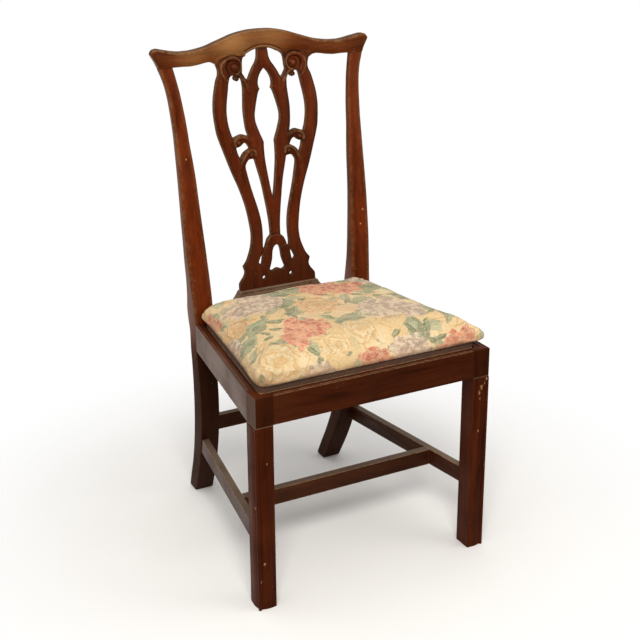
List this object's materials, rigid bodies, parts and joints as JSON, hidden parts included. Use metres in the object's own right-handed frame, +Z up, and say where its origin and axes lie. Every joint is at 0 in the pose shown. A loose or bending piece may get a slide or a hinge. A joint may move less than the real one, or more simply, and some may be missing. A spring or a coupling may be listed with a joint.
{
  "type": "carved splat back side chair",
  "caption": "Wooden side chair with a serpentine crest rail, pierced and carved back splat, square moulded front legs, stretchers and a loose padded drop-in seat.",
  "frame": {"origin": "on the floor, under the middle of the chair's bounding box", "axes": "+X to the right of someone who faces the chair, +Y from the front to the back, +Z up"},
  "size_m": [0.499, 0.5094, 0.9935],
  "materials": {
    "frame_wood": "semi-gloss red-brown polish, worn on the edges",
    "crest_wood": "semi-gloss brown polish, a little lighter than the rest",
    "inner_wood": "unpolished pale secondary wood",
    "jute": "coarse plain weave",
    "stuffing": "soft matt fibre",
    "floral_cloth": "matt woven cloth, cream with faded coral, lilac and sage flowers",
    "steel": "dull, slightly tarnished"
  },
  "bodies": {
    "chair_frame": {"right_rear_leg_post": "frame_wood", "left_rear_leg_post": "frame_wood", "crest_rail": "crest_wood", "splat": "frame_wood", "splat_shoe": "frame_wood", "front_seat_rail": "frame_wood", "right_side_seat_rail": "frame_wood", "left_side_seat_rail": "frame_wood", "rear_seat_rail": "frame_wood", "right_front_leg": "frame_wood", "left_front_leg": "frame_wood", "right_side_stretcher": "frame_wood", "left_side_stretcher": "frame_wood", "medial_stretcher": "frame_wood", "rear_stretcher": "frame_wood", "right_front_corner_block": "inner_wood", "left_front_corner_block": "inner_wood", "right_rear_corner_block": "inner_wood", "left_rear_corner_block": "inner_wood", "right_front_block_screw_1": "steel", "left_front_block_screw_1": "steel", "right_front_block_screw_2": "steel", "left_front_block_screw_2": "steel", "right_rear_block_screw_1": "steel", "left_rear_block_screw_1": "steel", "right_rear_block_screw_2": "steel", "left_rear_block_screw_2": "steel"},
    "slip_seat": {"seat_frame_front": "inner_wood", "seat_frame_rear": "inner_wood", "right_seat_frame_side": "inner_wood", "left_seat_frame_side": "inner_wood", "lengthwise_webbing_1": "jute", "lengthwise_webbing_2": "jute", "lengthwise_webbing_3": "jute", "crosswise_webbing_1": "jute", "crosswise_webbing_2": "jute", "crosswise_webbing_3": "jute", "burlap": "jute", "seat_stuffing": "stuffing", "seat_cover": "floral_cloth", "cover_tack_1": "steel", "cover_tack_2": "steel", "cover_tack_3": "steel", "cover_tack_4": "steel", "cover_tack_5": "steel", "cover_tack_6": "steel", "cover_tack_7": "steel", "cover_tack_8": "steel", "cover_tack_9": "steel", "cover_tack_10": "steel", "cover_tack_11": "steel", "cover_tack_12": "steel"}
  },
  "joints": [
    {"name": "slip_seat_lift", "type": "slide", "parent": "chair_frame", "child": "slip_seat", "axis": [0, 0, 1], "range_m": [0, 0.12]}
  ]
}
